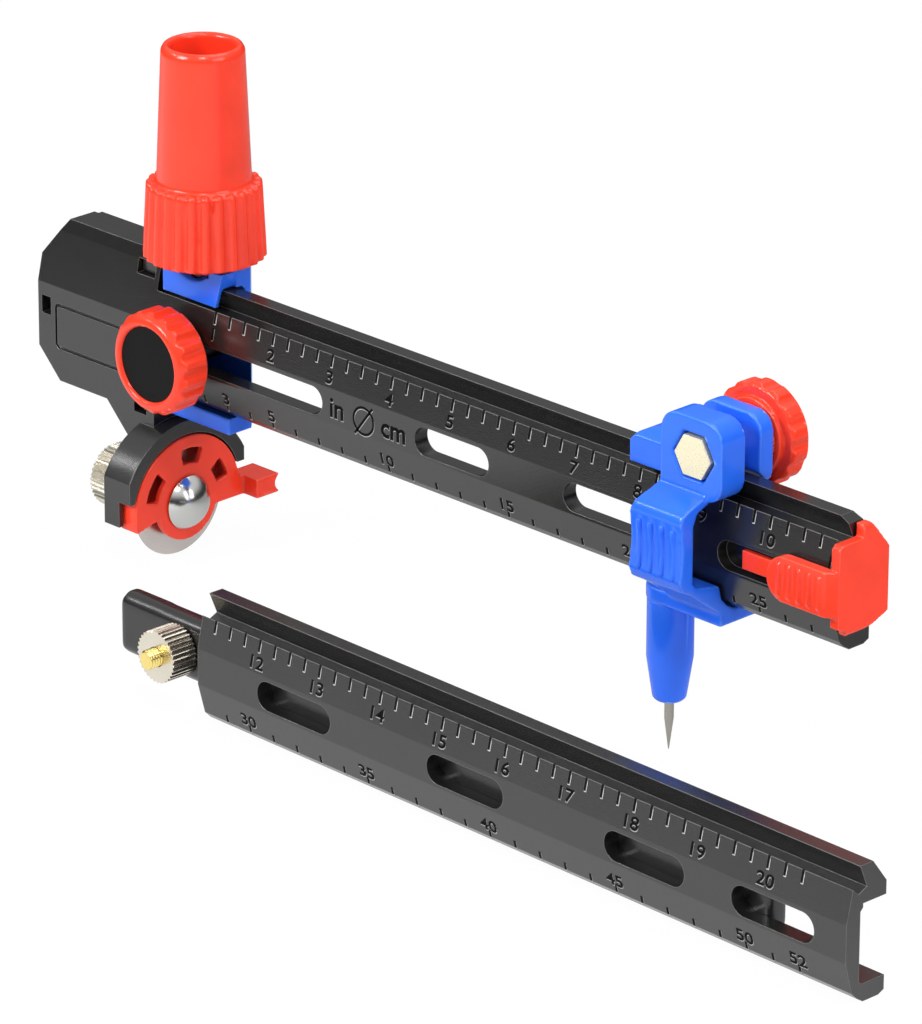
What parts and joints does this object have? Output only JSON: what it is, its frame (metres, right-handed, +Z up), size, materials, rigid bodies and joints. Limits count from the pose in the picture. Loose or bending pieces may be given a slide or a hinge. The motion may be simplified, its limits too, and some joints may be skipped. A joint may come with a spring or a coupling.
{
  "type": "circle cutter",
  "caption": "Adjustable circle cutter: scaled bar with rotary blade and swinging guard, swivel handle on a clamped block, needle slider, end cap and a loose extension bar.",
  "frame": {"origin": "lowest point of the blade, where the tool cuts", "axes": "+X along the bar from the cutting plane to the needle, +Y to the back of the bar, +Z up along the handle"},
  "size_m": [0.2075, 0.0632, 0.084],
  "materials": {
    "black_plastic": "fine grain, satin",
    "strip_plastic": "smooth",
    "inlay": "smooth",
    "red_plastic": "glossy orange red",
    "blue_plastic": "glossy bright blue",
    "bright_steel": "polished",
    "steel": "plain",
    "blade_steel": "ground",
    "nickel": "knurled nickel plate",
    "zinc": "yellow passivated zinc",
    "brass": "turned"
  },
  "bodies": {
    "beam": {"main_beam": "black_plastic", "rear_cover": "black_plastic", "axle_bolt": "bright_steel", "axle_washer": "steel"},
    "wheel_nut": {"axle_nut": "nickel"},
    "blade": {"rotary_blade": "blade_steel"},
    "guard": {"blade_guard": "red_plastic"},
    "block": {"handle_block": "blue_plastic", "handle_pivot": "steel", "clamp_nut": "steel", "clamp_washer": "steel"},
    "handle": {"swivel_handle": "red_plastic"},
    "knob": {"clamp_knob": "red_plastic", "knob_inlay": "inlay", "clamp_screw": "steel"},
    "slider": {"needle_slider": "blue_plastic", "slider_bolt": "zinc", "bolt_washer": "steel", "needle_holder": "blue_plastic", "needle": "blade_steel"},
    "rear_knob": {"slider_knob": "red_plastic", "knob_insert": "brass"},
    "cap": {"end_cap": "red_plastic"},
    "extension": {"extension_bar": "black_plastic", "joining_strip": "strip_plastic", "extension_stud": "brass"},
    "stud_nut": {"extension_nut": "nickel"}
  },
  "joints": [
    {"name": "wheel_nut_turn", "type": "hinge", "parent": "beam", "child": "wheel_nut", "pos_m": [-0.0117, 0, 0.009], "axis": [1, 0, 0], "continuous": true},
    {"name": "blade_roll", "type": "hinge", "parent": "beam", "child": "blade", "pos_m": [0, 0, 0.009], "axis": [1, 0, 0], "continuous": true},
    {"name": "guard_swing", "type": "hinge", "parent": "beam", "child": "guard", "pos_m": [0.0019, 0, 0.009], "axis": [-1, 0, 0], "range_deg": [0, 130]},
    {"name": "block_slide", "type": "slide", "parent": "beam", "child": "block", "axis": [1, 0, 0], "range_m": [0, 0.027]},
    {"name": "handle_swivel", "type": "hinge", "parent": "block", "child": "handle", "pos_m": [0.0068, 0, 0.056], "axis": [0, 0, 1], "continuous": true},
    {"name": "knob_turn", "type": "hinge", "parent": "block", "child": "knob", "pos_m": [0.0068, -0.009, 0.0358], "axis": [0, -1, 0], "range_deg": [0, 360]},
    {"name": "needle_slide", "type": "slide", "parent": "beam", "child": "slider", "axis": [1, 0, 0], "range_m": [-0.082, 0.0304]},
    {"name": "rear_knob_turn", "type": "hinge", "parent": "slider", "child": "rear_knob", "pos_m": [0.1153, 0.007, 0.0502], "axis": [0, 1, 0], "range_deg": [0, 360]},
    {"name": "cap_pull", "type": "slide", "parent": "beam", "child": "cap", "axis": [1, 0, 0], "range_m": [0, 0.025]},
    {"name": "extension_lift", "type": "slide", "parent": "beam", "child": "extension", "axis": [0, 0, 1], "range_m": [0, 0.08]},
    {"name": "stud_nut_turn", "type": "hinge", "parent": "extension", "child": "stud_nut", "pos_m": [0.0445, -0.03868, 0.0093], "axis": [0.0175, 0.9998, 0], "continuous": true}
  ]
}
